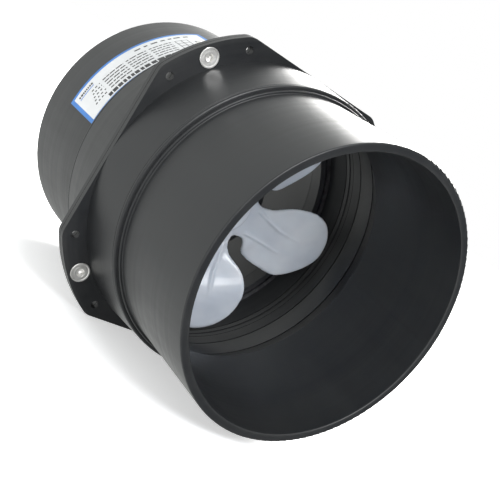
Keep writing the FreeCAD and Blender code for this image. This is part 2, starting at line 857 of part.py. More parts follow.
def make_motor_screws():
    """Two pan-head screws through the bracket into the motor face."""
    items = []
    for number, angle in enumerate(MOTOR_SCREW_ANGLES, start=1):
        tag = "motor_screw_" + str(number)
        across, upward = polar(dim("motor_screw_circle"), angle)
        under = dim("cup_front")
        top = under - dim("motor_screw_head_height")
        head = cylinder(tag + "_head", dim("motor_screw_head"), top, under, across, upward)
        shank = cylinder(tag + "_shank", dim("motor_screw_radius"), under, dim("motor_screw_end"),
                         across, upward)
        blank = fuse(tag + "_blank", [head, shank])
        length, width = dim("cross_slot_length"), dim("cross_slot_width")
        depth = dim("cross_slot_depth")
        centre = (across, top + depth * 0.5, upward)
        level = box(tag + "_level_slot", centre, (length, depth, width))
        upright = box(tag + "_upright_slot", centre, (width, depth, length))
        items.append(cut(tag, blank, fuse(tag + "_cross", [level, upright])))
    return group("motor_screws", items)


# ---------------------------------------------------------------------------
# Motor, fixed pieces
# ---------------------------------------------------------------------------

def make_motor_can():
    """The drawn steel can: side wall, front wall and bearing nose."""
    name = "motor_can"
    body = make_body(name)
    profile = outline_sketch(body, name + "_profile", "XY_Plane", [
        (dim("nose_bore"), dim("nose_front")),
        (dim("nose_radius"), dim("nose_front")),
        (dim("nose_radius"), dim("can_front")),
        (dim("can_radius"), dim("can_front")),
        (dim("can_radius"), dim("can_rear")),
        (dim("can_radius") - dim("can_wall"), dim("can_rear")),
        (dim("can_radius") - dim("can_wall"), dim("can_front") + dim("can_wall")),
        (dim("nose_bore"), dim("can_front") + dim("can_wall")),
    ])
    revolve(body, name + "_shell", profile)
    radius = dim("motor_screw_radius") + dim("thread_clearance")
    depth = dim("can_front") + dim("can_wall") + dim("cutter_overrun")
    pocket = drill_screw_holes(body, name, radius, depth)
    edge = ring_edges(pocket.Shape, dim("can_radius"), dim("can_front"))
    fillet(body, name + "_round", pocket, edge, dim("can_wall") * 0.8)
    return body


def make_end_cap():
    """The moulded rear cap that carries the rear bush and the brush gear."""
    name = "motor_end_cap"
    rear = dim("end_cap_front") + dim("end_cap_depth")
    disc_radius = dim("can_radius") - dim("can_wall") - dim("press_gap")
    disc = cylinder(name + "_disc", disc_radius, dim("end_cap_front"), rear)
    boss = cylinder(name + "_boss", dim("end_cap_boss_radius"), rear, dim("end_cap_boss_rear"))
    solid = fuse(name + "_solid", [disc, boss])
    bore = cylinder(name + "_bore", dim("bush_radius"), dim("end_cap_front"), dim("end_cap_boss_rear"))
    tools = [bore]
    play = dim("cutter_overrun")
    centre = (dim("terminal_reach"), rear - dim("end_cap_depth") * 0.5, 0.0)
    widths = (dim("terminal_thickness") + play, dim("terminal_slot_depth"), dim("terminal_width") + play)
    for number, angle in enumerate(terminal_angles(), start=1):
        tools.append(box(name + "_slot_" + str(number), centre, widths, angle))
    return named(cut(name, solid, fuse(name + "_tools", tools)), name)


def terminal_angles():
    """The two motor terminals, a quarter turn each side of the gland."""
    middle = dim("gland_angle").value
    return (middle - 90.0, middle + 90.0)


def make_bush(name, start, finish):
    bore = dim("shaft_radius") + dim("running_clearance")
    return named(tube(name, dim("bush_radius"), bore, start, finish), name)


def make_magnets():
    """Two curved ferrite magnets against the can wall."""
    outer = dim("can_radius") - dim("can_wall")
    items = []
    for number, angle in enumerate((0.0, 180.0), start=1):
        tag = "magnet_" + str(number)
        sleeve = tube(tag + "_sleeve", outer, dim("magnet_inner_radius"),
                      dim("magnet_front"), dim("magnet_rear"))
        items.append(wedge_of(tag, sleeve, dim("magnet_angle"), angle))
    return group("field_magnets", items)


def make_magnet_clips():
    """Two bent steel springs that push the magnets apart."""
    outer = dim("can_radius") - dim("can_wall") - dim("press_gap")
    inner = outer - dim("clip_thickness")
    angle_kept = 180.0 - dim("magnet_angle").value - dim("clip_gap_angle").value
    front = dim("magnet_front") + dim("clip_inset")
    rear = dim("magnet_rear") - dim("clip_inset")
    items = []
    for number, angle in enumerate((90.0, 270.0), start=1):
        tag = "magnet_clip_" + str(number)
        sleeve = tube(tag + "_sleeve", outer, inner, front, rear)
        items.append(wedge_of(tag, sleeve, angle_kept, angle))
    return group("magnet_clips", items)


def make_brushes():
    """Two carbon blocks that bear on the commutator."""
    start_radius = dim("commutator_radius") + dim("brush_air")
    middle_radius = start_radius + dim("brush_length") * 0.5
    height = dim("brush_front") + dim("brush_width") * 0.5
    items = []
    for number, angle in enumerate(terminal_angles(), start=1):
        items.append(box("brush_" + str(number), (middle_radius, height, 0.0),
                         (dim("brush_length"), dim("brush_width"), dim("brush_depth")), angle))
    return group("brushes", items)


def make_brush_springs():
    """Two flat spring arms behind the brushes."""
    start = dim("commutator_radius") + dim("brush_air") + dim("brush_length")
    middle = start + dim("spring_thickness") * 0.5
    front = dim("brush_front")
    rear = dim("end_cap_front")
    items = []
    for number, angle in enumerate(terminal_angles(), start=1):
        items.append(box("brush_spring_" + str(number), (middle, (front + rear) * 0.5, 0.0),
                         (dim("spring_thickness"), rear - front, dim("spring_width")), angle))
    return group("brush_springs", items)


def make_terminals():
    """Two brass tabs through the end cap."""
    start = dim("end_cap_front") + dim("end_cap_depth") - dim("terminal_hidden")
    finish = dim("terminal_rear")
    items = []
    for number, angle in enumerate(terminal_angles(), start=1):
        items.append(box("terminal_" + str(number), (dim("terminal_reach"), (start + finish) * 0.5, 0.0),
                         (dim("terminal_thickness"), finish - start, dim("terminal_width")), angle))
    return group("motor_terminals", items)


# ---------------------------------------------------------------------------
# Wiring inside the casing
# ---------------------------------------------------------------------------

def gland_frame(outward, along, sideways):
    """A point given along the gland direction, along Y, and sideways to both."""
    radians = math.radians(dim("gland_angle").value)
    out = FreeCAD.Vector(math.cos(radians), 0, math.sin(radians))
    side = FreeCAD.Vector(-math.sin(radians), 0, math.cos(radians))
    return out * outward + side * sideways + FreeCAD.Vector(0, along, 0)


def rounded_path(points, bend):
    """Straight runs through the points, joined by tangent arcs."""
    edges = []
    start = points[0]
    for before, corner, after in zip(points, points[1:], points[2:]):
        inward = (before - corner).normalize()
        onward = (after - corner).normalize()
        half = inward.getAngle(onward) / 2
        setback = bend / math.tan(half)
        arc_start = corner + inward * setback
        arc_end = corner + onward * setback
        bisector = (inward + onward).normalize()
        centre = corner + bisector * (bend / math.sin(half))
        arc_middle = centre - bisector * bend
        edges.append(Part.LineSegment(start, arc_start).toShape())
        edges.append(Part.Arc(arc_start, arc_middle, arc_end).toShape())
        start = arc_end
    edges.append(Part.LineSegment(start, points[-1]).toShape())
    return Part.Wire(edges)


def make_motor_leads():
    """Two insulated leads from the terminals, over the can and out at the gland."""
    solids = []
    lengths = []
    radius = dim("lead_radius").value
    for sign in (-1, 1):
        spacing = dim("lead_spacing").value * sign
        reach = dim("terminal_reach").value * sign
        rear = dim("lead_turn_rear").value
        run = dim("lead_run_radius").value
        height = dim("gland_height").value
        points = [
            gland_frame(0.0, dim("terminal_rear").value, reach),
            gland_frame(0.0, rear, reach),
            gland_frame(run, rear, spacing),
            gland_frame(run, height, spacing),
            gland_frame(dim("gland_outer_face").value, height, spacing),
        ]
        bend = min(dim("lead_bend").value, (rear - dim("terminal_rear").value) * 0.9)
        path = rounded_path(points, bend)
        circle = Part.Circle(points[0], FreeCAD.Vector(0, 1, 0), radius)
        section = Part.Wire(circle.toShape())
        sweep = path.makePipeShell([section], True, True)
        lengths.append(path.Length)
        solids.append(sweep)
        expected = math.pi * radius ** 2 * path.Length
        if abs(sweep.Volume - expected) > 0.02 * expected:
            raise RuntimeError("a lead's volume doesn't match its length")
    print("lead lengths, mm:", [round(length, 1) for length in lengths])
    return computed("motor_leads", Part.makeCompound(solids))


def make_cable_gland():
    """A rubber grommet with a flange each side of the rear casing wall."""
    inner_face = dim("gland_inner_face").value
    reach = dim("gland_outer_face").value - inner_face
    height = dim("gland_height").value
    outward = gland_frame(1.0, 0.0, 0.0)
    start = gland_frame(inner_face, height, 0.0)
    blank = Part.makeCylinder(dim("gland_flange_radius").value, reach, start, outward)
    grommet = blank.cut(document.getObject("rear_casing").Shape)
    bore = dim("lead_radius").value + dim("running_clearance").value
    for sign in (-1, 1):
        centre = gland_frame(inner_face, height, dim("lead_spacing").value * sign)
        grommet = grommet.cut(Part.makeCylinder(bore, reach, centre, outward))
    return computed("cable_gland", grommet)


# ---------------------------------------------------------------------------
# Rotor
# ---------------------------------------------------------------------------

def make_shaft():
    item = cylinder("rotor_shaft", dim("shaft_radius"), dim("shaft_front"), dim("shaft_rear"))
    return named(item, "rotor_shaft")


def pole_angles():
    return [FULL_TURN / POLE_COUNT * number for number in range(POLE_COUNT)]


def make_armature_core():
    """The laminated core: five poles with a coil slot between each pair."""
    name = "armature_core"
    start, finish = dim("core_front"), dim("core_rear")
    blank = cylinder(name + "_blank", dim("core_radius"), start, finish)
    tools = [cylinder(name + "_bore", dim("shaft_radius"), start, finish)]
    for number, angle in enumerate(pole_angles(), start=1):
        across, upward = polar(dim("slot_centre_radius"), angle)
        tag = name + "_slot_" + str(number)
        tools.append(cylinder(tag, dim("slot_radius"), start, finish, across, upward))
        mouth_middle = (dim("slot_centre_radius") + dim("core_radius")) * 0.5
        tools.append(box(tag + "_mouth", (mouth_middle + 1.0, (start + finish) * 0.5, 0.0),
                         (dim("core_radius") - dim("slot_centre_radius") + 3.0,
                          finish - start, dim("slot_mouth")), angle))
    return named(cut(name, blank, fuse(name + "_tools", tools)), name)


def make_windings():
    """Five enamelled wire bundles, each filling a slot and standing proud."""
    start = dim("core_front") - dim("coil_overhang")
    finish = dim("core_rear") + dim("coil_overhang")
    items = []
    for number, angle in enumerate(pole_angles(), start=1):
        across, upward = polar(dim("slot_centre_radius"), angle)
        items.append(cylinder("coil_" + str(number), dim("coil_radius"), start, finish, across, upward))
    return group("armature_windings", items)


def make_commutator():
    """Copper segments parted by narrow slots, on a common sleeve."""
    name = "commutator"
    start, finish = dim("commutator_front"), dim("commutator_rear")
    sleeve = tube(name + "_sleeve", dim("commutator_radius"), dim("shaft_radius"), start, finish)
    slots = []
    for number, angle in enumerate(pole_angles(), start=1):
        slots.append(box(name + "_slot_" + str(number),
                         (dim("commutator_radius"), (start + finish) * 0.5, 0.0),
                         (1.4, finish - start, dim("segment_gap")), angle + 36.0))
    return named(cut(name, sleeve, fuse(name + "_slots", slots)), name)


def make_thrust_washers():
    """Two fibre washers that take the end play of the shaft."""
    items = []
    front = dim("front_bush_rear") + dim("end_play")
    rear = dim("rear_bush_front") - dim("end_play") - dim("washer_thickness")
    for number, start in enumerate((front, rear), start=1):
        items.append(tube("thrust_washer_" + str(number), dim("washer_radius"), dim("shaft_radius"),
                          start, start + dim("washer_thickness")))
    return group("thrust_washers", items)


def blade_outline():
    """Closed outline of a blade, seen along the fan axis."""
    root = dim("blade_root_radius").value

    def at(radius, degrees):
        radians = math.radians(degrees)
        return FreeCAD.Vector(radius * math.cos(radians), 0, radius * math.sin(radians))

    rim = [at(radius, degrees) for radius, degrees in BLADE_EDGE]
    curve = Part.BSplineCurve()
    curve.interpolate(rim)
    leading, trailing = BLADE_ROOT_ANGLES
    foot = [rim[-1], at(root, trailing), at(root, leading), rim[0]]
    edges = [curve.toShape()]
    for first, second in zip(foot, foot[1:]):
        edges.append(Part.LineSegment(first, second).toShape())
    return Part.Wire(edges)


def blade_solid():
    """One blade: a screw surface given thickness, trimmed to the outline."""
    lead = dim("blade_lead").value / FULL_TURN
    thickness = dim("blade_thickness").value
    middle = dim("blade_middle_height").value
    rows = []
    for radius, pitch_share, setback in BLADE_TWIST:
        row = []
        for degrees in BLADE_COLUMNS:
            radians = math.radians(degrees)
            height = middle + setback - lead * pitch_share * degrees - thickness / 2
            row.append(FreeCAD.Vector(radius * math.cos(radians), height, radius * math.sin(radians)))
        rows.append(row)
    surface = Part.BSplineSurface()
    surface.interpolate(rows)
    plate = surface.toShape().extrude(FreeCAD.Vector(0, thickness, 0))
    outline = blade_outline()
    outline.translate(FreeCAD.Vector(0, -30, 0))
    prism_shape = Part.Face(outline).extrude(FreeCAD.Vector(0, 60, 0))
    return plate.common(prism_shape)


def make_impeller():
    """The moulded impeller: a short hub on a thin disc and five broad screw-shaped blades."""
    hub_radius = dim("hub_radius").value
    front = dim("hub_front").value
    rear = dim("hub_rear").value
    nose = dim("hub_nose_radius").value
    insert = dim("insert_radius").value
    shoulder = front + (hub_radius - nose) * 0.7
    flange = dim("hub_flange_radius").value
    flange_front = dim("hub_flange_front").value
    corners = [
        (insert, front), (nose, front), (hub_radius, shoulder), (hub_radius, flange_front),
        (flange, flange_front), (flange, rear), (insert, rear),
    ]
    points = [FreeCAD.Vector(radius, height, 0) for radius, height in corners]
    bulge = FreeCAD.Vector(nose + (hub_radius - nose) * 0.72, front + (shoulder - front) * 0.3, 0)
    edges = []
    for number, (first, second) in enumerate(zip(points, points[1:] + points[:1])):
        if number == 1:
            edges.append(Part.Arc(first, bulge, second).toShape())
        else:
            edges.append(Part.LineSegment(first, second).toShape())
    profile = Part.Face(Part.Wire(edges))
    hub = profile.revolve(FreeCAD.Vector(), FreeCAD.Vector(0, 1, 0), FULL_TURN)
    blades = []
    for number in range(BLADE_COUNT):
        blade = blade_solid()
        angle = dim("blade_angle").value + FULL_TURN / BLADE_COUNT * number
        blade.rotate(FreeCAD.Vector(), FreeCAD.Vector(0, 1, 0), -angle)
        blades.append(blade)
    shape = hub.fuse(blades)
    return computed("impeller", shape)


def make_impeller_insert():
    name = "impeller_insert"
    return named(tube(name, dim("insert_radius"), dim("shaft_radius"), dim("hub_front"), dim("hub_rear")),
                 name)


def make_impeller_washer():
    name = "impeller_washer"
    start = dim("hub_front") - dim("impeller_washer_thickness")
    return named(tube(name, dim("impeller_washer_radius"), dim("shaft_radius"), start, dim("hub_front")),
                 name)


def make_impeller_nut():
    """A nylon cap nut: hexagonal, domed in front, its bore closed."""
    name = "impeller_nut"
    rear = dim("hub_front") - dim("impeller_washer_thickness")
    front = rear - dim("impeller_nut_height")
    dome_rear = front + dim("impeller_nut_dome")
    wrench = prism(name + "_wrench", dim("impeller_nut_radius"), dome_rear, rear)
    flat_radius = dim("impeller_nut_radius") * 0.86
    dome = cone(name + "_dome", flat_radius * 0.6, flat_radius, front, dome_rear)
    solid = fuse(name + "_solid", [wrench, dome])
    bore = cylinder(name + "_bore", dim("shaft_radius"), dim("impeller_nut_bore_front"), rear)
    return named(cut(name, solid, bore), name)


# ---------------------------------------------------------------------------
# Label
# ---------------------------------------------------------------------------

def make_label():
    """The printed label wrapped on the rear spigot."""
    name = "rating_label"
    sleeve = tube(name + "_sleeve", dim("spigot_radius") + dim("label_thickness"), dim("spigot_radius"),
                  dim("label_front"), dim("label_front") + dim("label_width"))
    middle = dim("label_start_angle").value + dim("label_angle").value / 2
    return named(wedge_of(name, sleeve, dim("label_angle"), middle), name)


# ---------------------------------------------------------------------------
# Build, check and write
# ---------------------------------------------------------------------------

def build_parts():
    """Every sub-part, in the order that a bench assembly would take."""
    parts = [
        make_front_casing(),
        make_rear_casing(),
        make_joint_seal(),
        make_flange_screws(),
        make_flange_nuts(),
        make_motor_bracket(),
        make_retaining_ring(),
        make_motor_screws(),
        make_motor_can(),
        make_end_cap(),
        make_bush("front_bush", dim("nose_front") + 0.2, dim("front_bush_rear")),
        make_bush("rear_bush", dim("rear_bush_front"), dim("end_cap_boss_rear")),
        make_magnets(),
        make_magnet_clips(),
        make_brushes(),
        make_brush_springs(),
        make_terminals(),
        make_motor_leads(),
        make_cable_gland(),
        make_label(),
        make_shaft(),
        make_armature_core(),
        make_windings(),
        make_commutator(),
        make_thrust_washers(),
        make_impeller(),
        make_impeller_insert(),
        make_impeller_washer(),
        make_impeller_nut(),
    ]
    document.recompute()
    return parts


def check_document(parts):
    """Stop if anything failed to build, before a file is written."""
    for item in document.Objects:
        if "Invalid" in item.State or "Error" in item.State:
            raise RuntimeError(item.Name + " failed: " + ", ".join(item.State))
    for part in parts:
        if part.Shape.isNull() or not part.Shape.isValid() or part.Shape.Volume <= 0:
            raise RuntimeError(part.Label + " has no valid shape")


def write_parts(parts):
    os.makedirs("parts", exist_ok=True)
    for part in parts:
        part.Shape.exportStep("parts/" + part.Label + ".step")
        print(part.Label, len(part.Shape.Solids), round(part.Shape.Volume, 1))


sub_parts = build_parts()
check_document(sub_parts)
write_parts(sub_parts)
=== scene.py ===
import math
import random

import bmesh
import bpy
import numpy as np
from mathutils import Matrix, Vector


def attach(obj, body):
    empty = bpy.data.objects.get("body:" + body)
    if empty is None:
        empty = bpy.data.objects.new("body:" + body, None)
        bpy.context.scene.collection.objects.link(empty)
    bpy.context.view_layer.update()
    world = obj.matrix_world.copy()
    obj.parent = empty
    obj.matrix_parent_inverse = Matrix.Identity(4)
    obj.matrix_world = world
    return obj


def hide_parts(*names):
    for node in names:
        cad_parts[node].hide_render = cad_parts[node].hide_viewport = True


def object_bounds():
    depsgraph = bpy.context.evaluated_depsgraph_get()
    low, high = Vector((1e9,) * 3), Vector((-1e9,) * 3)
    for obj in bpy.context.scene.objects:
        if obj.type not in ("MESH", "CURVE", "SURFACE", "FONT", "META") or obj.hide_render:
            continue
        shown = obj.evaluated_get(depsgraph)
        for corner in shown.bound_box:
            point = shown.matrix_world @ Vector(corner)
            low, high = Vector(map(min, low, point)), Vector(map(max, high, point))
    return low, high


# Looks for the in-line duct blower. The CAD nodes keep their shapes, except the
# impeller, its cap nut, the flange screws and the flange nuts, which are rebuilt here
# in finer detail. The label's paper and print lie on its CAD node, which shows as the
# border. Shapes are drawn in millimetres, and MM turns them into Blender's metres.
# Angles about the fan axis run from +X towards +Z.

MM = 0.001

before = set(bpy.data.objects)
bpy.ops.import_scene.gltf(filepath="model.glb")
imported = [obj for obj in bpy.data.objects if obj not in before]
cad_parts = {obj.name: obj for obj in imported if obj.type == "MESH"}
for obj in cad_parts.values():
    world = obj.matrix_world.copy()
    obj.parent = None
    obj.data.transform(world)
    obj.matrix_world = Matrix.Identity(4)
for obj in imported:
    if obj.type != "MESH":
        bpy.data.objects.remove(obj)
cad_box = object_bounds()
scene = bpy.context.scene


# ---------------------------------------------------------------------------
# Camera, floor and light
# ---------------------------------------------------------------------------

CAMERA_AZIMUTH = -39.41
CAMERA_ELEVATION = 8.81
CAMERA_ROLL = -32.41
CAMERA_DISTANCE = 0.3198
CAMERA_AIM = Vector((0.00937, -0.00936, -0.00829))
CAMERA_LENS = 64.23

SKY_TINT = (0.97, 0.99, 0.97, 1.0)
SKY_STRENGTH = 0.95
SKY_DARK = 0.1
# Where the dark side of the dome is, and the cosines of the angles from there
# at which it starts to fade in and is fully dark
DARK_AZIMUTH = 39.0
DARK_ELEVATION = -9.0
DARK_START = 0.3
DARK_FULL = 0.95
FLOOR_HALF = 3.0
FLOOR_GAP = 0.2 * MM
FLOOR_GLOW = 0.5


def direction(azimuth, elevation):
    """Unit vector from the object towards that azimuth, from -Y towards +X."""
    across = math.radians(azimuth)
    up = math.radians(elevation)
    flat = math.cos(up)
    return Vector((math.sin(across) * flat, -math.cos(across) * flat, math.sin(up)))


def add_camera():
    data = bpy.data.cameras.new("camera")
    data.lens = CAMERA_LENS
    data.sensor_width = 36.0
    data.clip_start = 0.01
    camera = bpy.data.objects.new("camera", data)
    scene.collection.objects.link(camera)
    outward = direction(CAMERA_AZIMUTH, CAMERA_ELEVATION)
    place = CAMERA_AIM + outward * CAMERA_DISTANCE
    level = (-outward).to_track_quat("-Z", "Y").to_matrix().to_4x4()
    roll = Matrix.Rotation(-math.radians(CAMERA_ROLL), 4, "Z")
    camera.matrix_world = Matrix.Translation(place) @ level @ roll
    scene.camera = camera


def area_light(name, azimuth, elevation, distance, size, watts, colour):
    data = bpy.data.lights.new(name, "AREA")
    data.shape = "DISK"
    data.size = size
    data.energy = watts
    data.color = colour
    lamp = bpy.data.objects.new(name, data)
    scene.collection.objects.link(lamp)
    outward = direction(azimuth, elevation)
    turn = (-outward).to_track_quat("-Z", "Y").to_matrix().to_4x4()
    lamp.matrix_world = Matrix.Translation(outward * distance) @ turn


def add_world():
    """White to the camera; a dimmer dome with one dark side lights the object."""
    world = bpy.data.worlds.new("studio")
    world.use_nodes = True
    tree = world.node_tree
    made = tree.nodes.new
    sky = tree.nodes["Background"]
    backdrop = made("ShaderNodeBackground")
    backdrop.inputs["Color"].default_value = (1.0, 1.0, 1.0, 1.0)
    backdrop.inputs["Strength"].default_value = 1.0
    path = made("ShaderNodeLightPath")
    mix = made("ShaderNodeMixShader")
    tree.links.new(path.outputs["Is Camera Ray"], mix.inputs[0])
    tree.links.new(sky.outputs[0], mix.inputs[1])
    tree.links.new(backdrop.outputs[0], mix.inputs[2])
    tree.links.new(mix.outputs[0], tree.nodes["World Output"].inputs[0])
    sky.inputs["Color"].default_value = SKY_TINT
    ray = made("ShaderNodeTexCoord")
    facing = made("ShaderNodeVectorMath")
    facing.operation = "DOT_PRODUCT"
    facing.inputs[1].default_value = direction(DARK_AZIMUTH, DARK_ELEVATION)
    tree.links.new(ray.outputs["Generated"], facing.inputs[0])
    fade = made("ShaderNodeMapRange")
    fade.interpolation_type = "SMOOTHSTEP"
    fade.inputs["From Min"].default_value = DARK_START
    fade.inputs["From Max"].default_value = DARK_FULL
    fade.inputs["To Min"].default_value = SKY_STRENGTH
    fade.inputs["To Max"].default_value = SKY_DARK
    tree.links.new(facing.outputs["Value"], fade.inputs["Value"])
    tree.links.new(fade.outputs["Result"], sky.inputs["Strength"])
    scene.world = world


def add_floor():
    mesh = bpy.data.meshes.new("floor")
    level = cad_box[0][2] - FLOOR_GAP
    signs = ((-1, -1), (1, -1), (1, 1), (-1, 1))
    corners = [(x * FLOOR_HALF, y * FLOOR_HALF, level) for x, y in signs]
    mesh.from_pydata(corners, [], [(0, 1, 2, 3)])
    floor = bpy.data.objects.new("floor", mesh)
    scene.collection.objects.link(floor)
    paint = finish("floor_paint", (0.88, 0.89, 0.90), (0.93, 0.93, 0.94), 0.75, 0.85, grain=30.0, bump=0.02,
                   Emission_Color=(1.0, 1.0, 1.0, 1.0), Emission_Strength=FLOOR_GLOW)
    mesh.materials.append(paint)
    floor.visible_glossy = False


def add_studio():
    scene.view_settings.view_transform = "Standard"
    add_world()
    add_floor()
    area_light("key_light", 130.0, 37.0, 0.9, 0.6, 17.0, (1.0, 0.99, 0.97))
    area_light("mouth_light", -12.0, 36.0, 1.2, 0.45, 10.0, (0.97, 0.98, 1.0))
    area_light("blade_glint", -4.0, -4.0, 0.5, 0.07, 0.28, (1.0, 1.0, 1.0))


# ---------------------------------------------------------------------------
# Materials
# ---------------------------------------------------------------------------

class Recipe:
    """A Principled material and a short way to add nodes to it."""

    def __init__(self, name):
        self.material = bpy.data.materials.new(name)
        self.material.use_nodes = True
        self.tree = self.material.node_tree
        self.shader = self.tree.nodes["Principled BSDF"]

    def node(self, kind, values=(), **settings):
        made = self.tree.nodes.new(kind)
        for key, value in settings.items():
            setattr(made, key, value)
        for slot, value in dict(values).items():
            if isinstance(value, bpy.types.NodeSocket):
                self.tree.links.new(value, made.inputs[slot])
            else:
                made.inputs[slot].default_value = value
        return made

    def join(self, output, slot):
        self.tree.links.new(output, self.shader.inputs[slot])

    def place(self, stretch=(1.0, 1.0, 1.0)):
        """Object coordinates in metres, stretched along the axes."""
        coordinates = self.node("ShaderNodeTexCoord")
        mapping = self.node("ShaderNodeMapping", {"Vector": coordinates.outputs["Object"], "Scale": stretch})
        return mapping.outputs["Vector"]

    def noise(self, vector, scale, detail=4.0, roughness=0.55):
        made = self.node("ShaderNodeTexNoise", {"Vector": vector, "Scale": scale, "Detail": detail,
                                                "Roughness": roughness})
        return made.outputs["Fac"]

    def ramp(self, factor, low, high, start=0.35, end=0.65):
        made = self.node("ShaderNodeValToRGB", {"Fac": factor})
        made.color_ramp.elements[0].position = start
        made.color_ramp.elements[0].color = (*low, 1.0)
        made.color_ramp.elements[1].position = end
        made.color_ramp.elements[1].color = (*high, 1.0)
        return made.outputs["Color"]

    def spread(self, factor, low, high, start=0.3, end=0.7):
        made = self.node("ShaderNodeMapRange", {"Value": factor, "From Min": start, "From Max": end,
                                                "To Min": low, "To Max": high})
        return made.outputs["Result"]

    def math(self, operation, first, second=0.0):
        return self.node("ShaderNodeMath", {0: first, 1: second}, operation=operation).outputs[0]

    def bump(self, height, strength, distance, under=None):
        values = {"Height": height, "Strength": strength, "Distance": distance}
        if under is not None:
            values["Normal"] = under
        return self.node("ShaderNodeBump", values).outputs["Normal"]

    def axis_place(self):
        """Radius and height about the fan axis, as a vector."""
        coordinates = self.node("ShaderNodeTexCoord")
        parts = self.node("ShaderNodeSeparateXYZ", {0: coordinates.outputs["Object"]}).outputs
        radius = self.math("SQRT", self.math("ADD", self.math("MULTIPLY", parts["X"], parts["X"]),
                                             self.math("MULTIPLY", parts["Z"], parts["Z"])))
        return self.node("ShaderNodeCombineXYZ", {"X": radius, "Y": parts["Y"]}).outputs[0]


def finish(name, low, high, rough_low, rough_high, grain=400.0, bump=0.1, stretch=(1.0, 1.0, 1.0),
           metallic=0.0, depth=0.1 * MM, **shader):
    """A surface whose colour, gloss and relief all vary with fine grain."""
    recipe = Recipe(name)
    vector = recipe.place(stretch)
    broad = recipe.noise(vector, grain * 0.2)
    fine = recipe.noise(vector, grain, 6.0)
    recipe.join(recipe.ramp(broad, low, high), "Base Color")
    recipe.join(recipe.spread(fine, rough_low, rough_high), "Roughness")
    recipe.join(recipe.bump(fine, bump, depth), "Normal")
    recipe.shader.inputs["Metallic"].default_value = metallic
    for slot, value in shader.items():
        recipe.shader.inputs[slot.replace("_", " ")].default_value = value
    return recipe.material


def casing_plastic(name, low, high, rough_low, rough_high):
    """Satin moulded plastic with faint rings turned about the axis and flow streaks along it.

    The line where the two flanges meet, at the middle of the fan's length, is painted darker as painted
    shade in the joint between them.
    """
    recipe = Recipe(name)
    vector = recipe.place()
    rings = recipe.noise(recipe.axis_place(), 700.0, 3.0)
    flow = recipe.noise(recipe.place((1.0, 0.06, 1.0)), 260.0, 3.0)
    cloud = recipe.noise(vector, 35.0, 3.0)
    grain = recipe.noise(vector, 3200.0, 3.0)
    streak = recipe.math("ADD", recipe.math("MULTIPLY", rings, 0.4), recipe.math("MULTIPLY", flow, 0.2))
    tone = recipe.math("ADD", streak, recipe.math("MULTIPLY", cloud, 0.4))
    along = recipe.node("ShaderNodeSeparateXYZ", {0: vector}).outputs["Y"]
    # 1 away from the flanges' joint, falling to 0 at it: this darkens the colour there as painted shade in
    # the joint, and also makes the joint rough and sunk
    flange = recipe.spread(recipe.math("ABSOLUTE", along), 0.0, 1.0, 0.06 * MM, 0.2 * MM)
    tint = recipe.ramp(tone, low, high, 0.38, 0.62)
    shade = recipe.node("ShaderNodeVectorMath", {0: tint}, operation="SCALE")
    recipe.tree.links.new(flange, shade.inputs["Scale"])
    recipe.join(shade.outputs["Vector"], "Base Color")
    gloss = recipe.spread(tone, rough_low, rough_high, 0.36, 0.64)
    recipe.join(recipe.math("MAXIMUM", gloss, recipe.math("SUBTRACT", 1.0, flange)), "Roughness")
    seam = recipe.bump(flange, 0.6, 0.2 * MM)
    coarse = recipe.bump(streak, 0.10, 0.05 * MM, seam)
    recipe.join(recipe.bump(grain, 0.07, 0.03 * MM, coarse), "Normal")
    recipe.shader.inputs["Specular IOR Level"].default_value = 0.5
    return recipe.material


